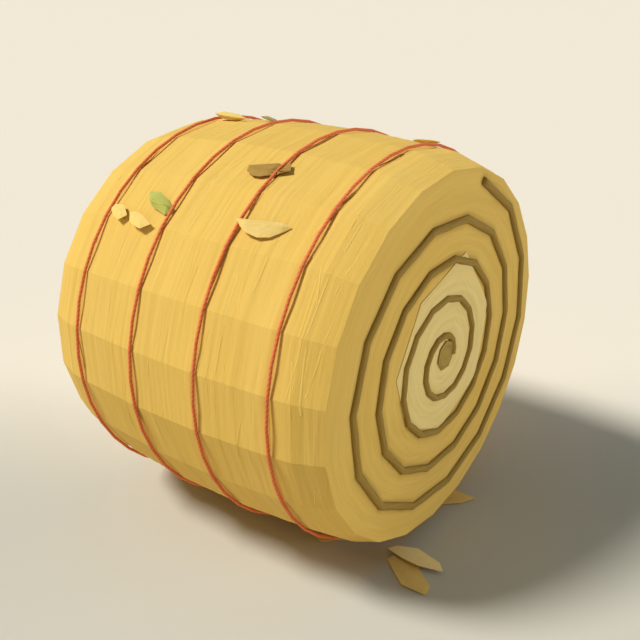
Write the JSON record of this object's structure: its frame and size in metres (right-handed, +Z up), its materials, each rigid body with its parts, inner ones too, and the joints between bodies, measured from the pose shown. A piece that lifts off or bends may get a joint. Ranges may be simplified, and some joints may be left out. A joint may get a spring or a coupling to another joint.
{
  "type": "round straw bale",
  "caption": "Small round bale of rolled straw lying on its side, faceted barrel body, spiral rolled ends, red twine loops and loose flakes of straw and leaf.",
  "frame": {"origin": "middle of the flat face under the roll, on the ground it lies on", "axes": "+X along the roll towards its right end, +Z up, +Y away from the picture's viewer"},
  "size_m": [0.5024, 0.5548, 0.5205],
  "materials": {
    "straw": "matte",
    "rolled_edge": "matte",
    "core_straw": "matte",
    "heart_straw": "matte",
    "twine": "matte",
    "pale_flake": "matte",
    "green_leaf": "matte",
    "brown_flake": "matte",
    "olive_flake": "matte",
    "fallen_flake": "matte"
  },
  "bodies": {
    "root": {"straw_roll": "straw", "rolled_edge_right": "rolled_edge", "core_right": "core_straw", "heart_right": "heart_straw", "rolled_edge_left": "rolled_edge", "core_left": "core_straw", "heart_left": "heart_straw", "twine_1": "twine", "twine_2": "twine", "twine_3": "twine", "twine_4": "twine", "flake_pale_short": "pale_flake", "flake_pale_long": "pale_flake", "flake_green_leaf": "green_leaf", "flake_brown": "brown_flake", "flake_cream": "pale_flake", "flake_pale_top": "pale_flake", "flake_olive": "olive_flake", "flake_yellow": "pale_flake", "fallen_flake_upper": "fallen_flake", "fallen_flake_lower": "fallen_flake", "fallen_flake_back": "fallen_flake", "fallen_flake_front": "fallen_flake"}
  },
  "joints": []
}
